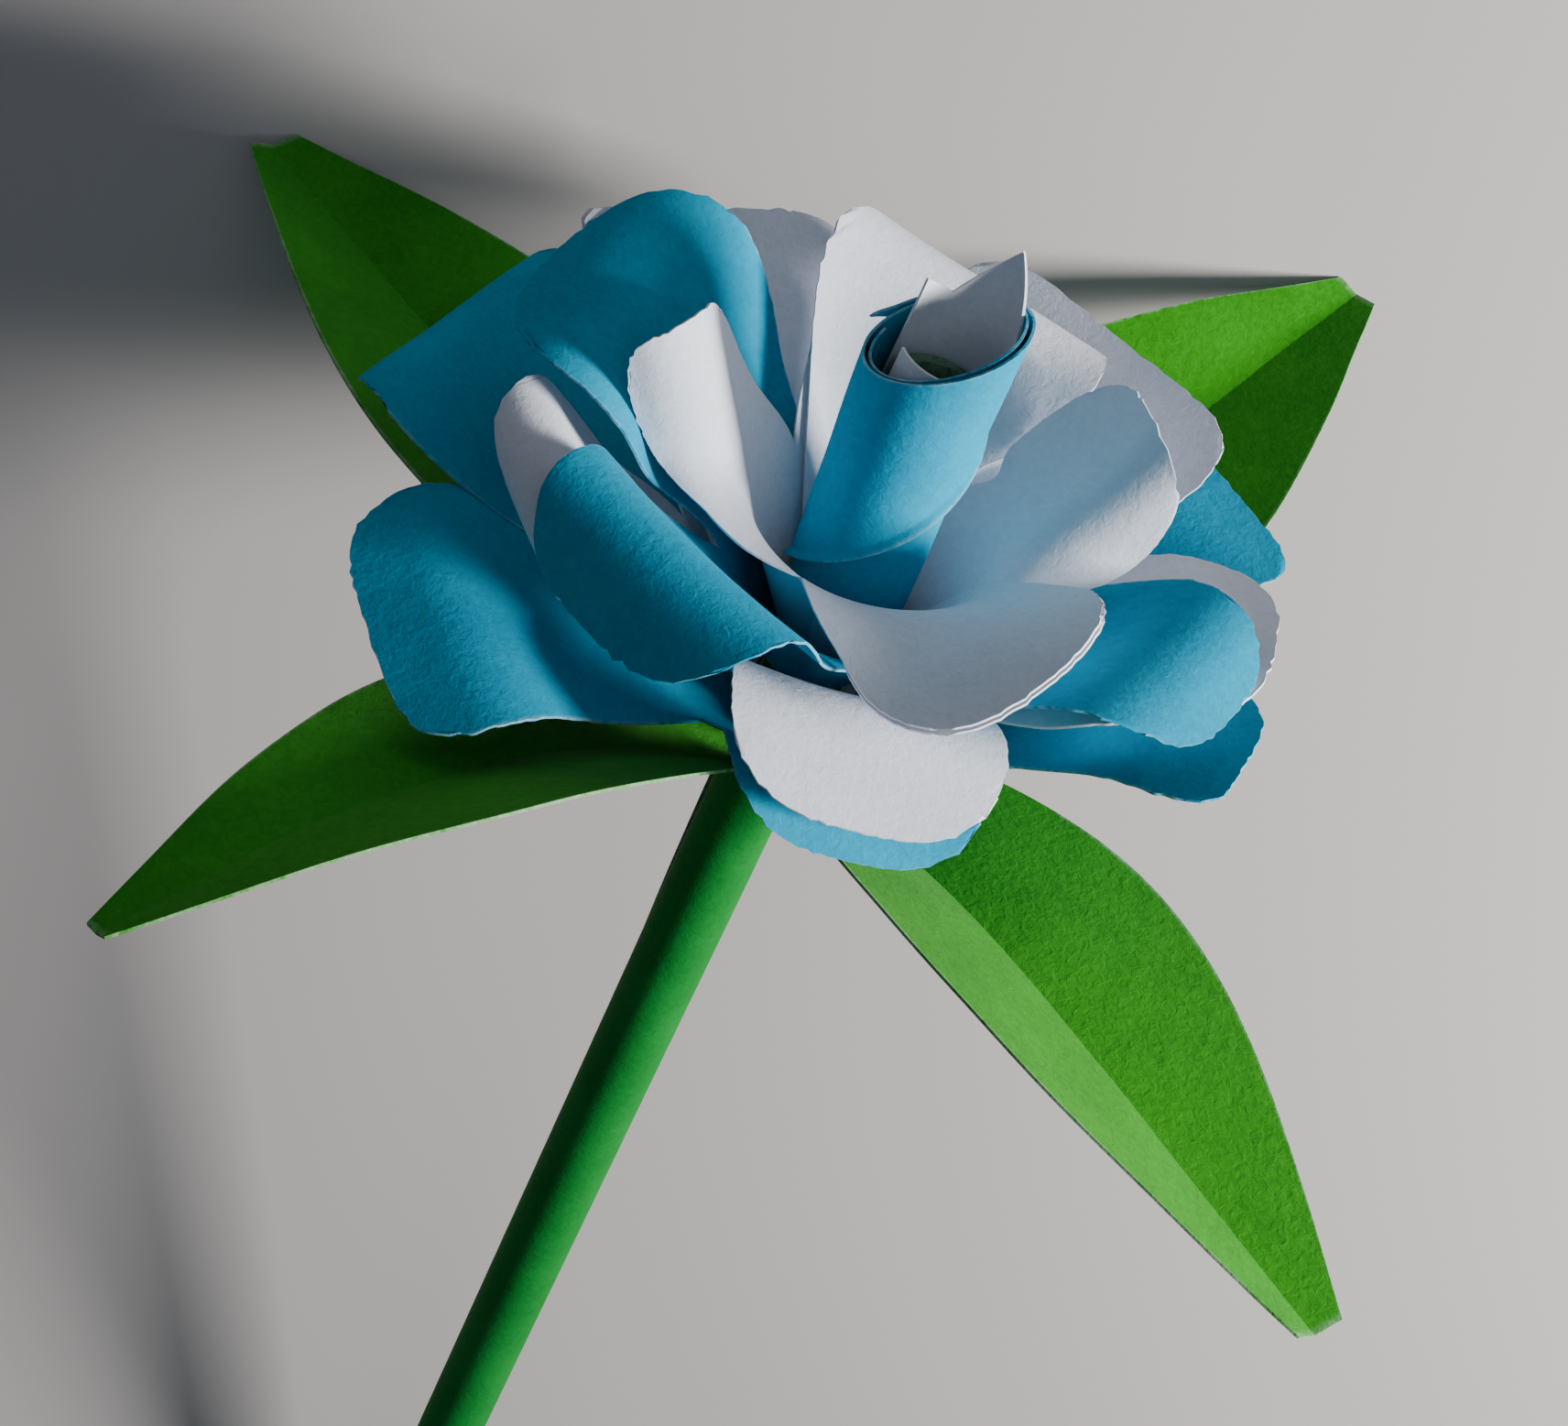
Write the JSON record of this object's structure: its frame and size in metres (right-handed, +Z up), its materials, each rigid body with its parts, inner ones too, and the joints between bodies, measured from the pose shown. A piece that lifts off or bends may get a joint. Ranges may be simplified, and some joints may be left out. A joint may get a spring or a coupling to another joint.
{
  "type": "paper flower",
  "caption": "Handmade rose of curled and rolled paper sheets with a rolled paper stem and folded paper leaves, lying on its side.",
  "frame": {"origin": "on the floor, under the middle of the bounding box", "axes": "+Z up, +Y from the foot of the stem towards the flower, which lies on its stem's end and two leaf tips"},
  "size_m": [0.0976, 0.2052, 0.0942],
  "materials": {
    "blue_paper": "matt coloured paper",
    "white_paper": "matt white paper",
    "leaf_paper": "matt coloured paper",
    "stem_paper": "matt coloured paper"
  },
  "bodies": {
    "root": {"stem": "stem_paper", "leaf_star": "leaf_paper", "outer_blue_cup": "blue_paper", "outer_white_cup": "white_paper", "inner_blue_cup": "blue_paper", "inner_white_strip_left": "white_paper", "inner_white_strip_right": "white_paper", "blue_bud_wrap": "blue_paper", "white_bud": "white_paper"}
  },
  "joints": []
}
